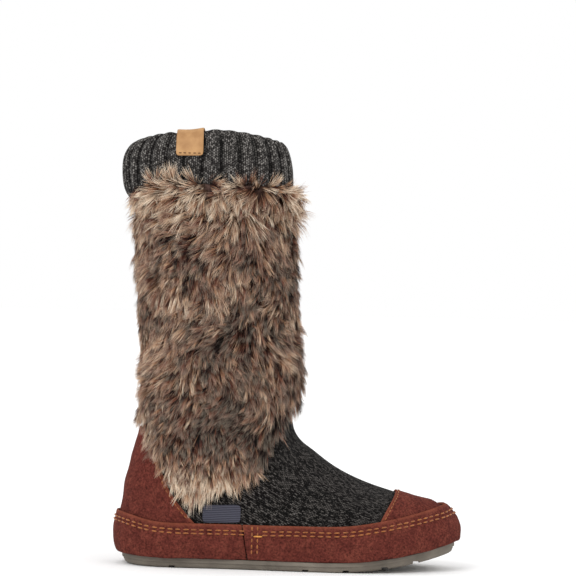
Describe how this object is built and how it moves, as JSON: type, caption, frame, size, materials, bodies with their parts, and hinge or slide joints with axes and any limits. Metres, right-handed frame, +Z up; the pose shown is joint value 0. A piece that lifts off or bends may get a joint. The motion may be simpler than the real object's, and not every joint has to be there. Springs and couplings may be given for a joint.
{
  "type": "slipper boot",
  "caption": "Tall soft slipper boot for the right foot: knitted upper with a rib cuff, a long-pile fur sleeve round the shaft, suede heel, toe and rand, and a thin rubber sole.",
  "frame": {"origin": "on the floor, under the middle of the boot's length and width", "axes": "+X towards the toe, +Y towards the inner side of the foot, +Z up"},
  "size_m": [0.2654, 0.1163, 0.3307],
  "materials": {
    "taupe_rubber": "matt moulded rubber",
    "grey_felt": "soft napped felt",
    "charcoal_knit": "heather wool knit",
    "charcoal_rib": "heather rib knit",
    "brown_fur": "long-pile imitation fur, pale tips over a dark ground",
    "russet_suede": "napped suede with golden stitching",
    "tan_leather": "smooth vegetable-tanned leather",
    "slate_label": "fine woven label"
  },
  "bodies": {
    "root": {"outsole": "taupe_rubber", "insole": "grey_felt", "upper": "charcoal_knit", "cuff": "charcoal_rib", "fur_sleeve": "brown_fur", "heel_counter": "russet_suede", "toe_cap": "russet_suede", "guard_heel": "russet_suede", "guard_front": "russet_suede", "tab": "tan_leather", "label": "slate_label"}
  },
  "joints": []
}
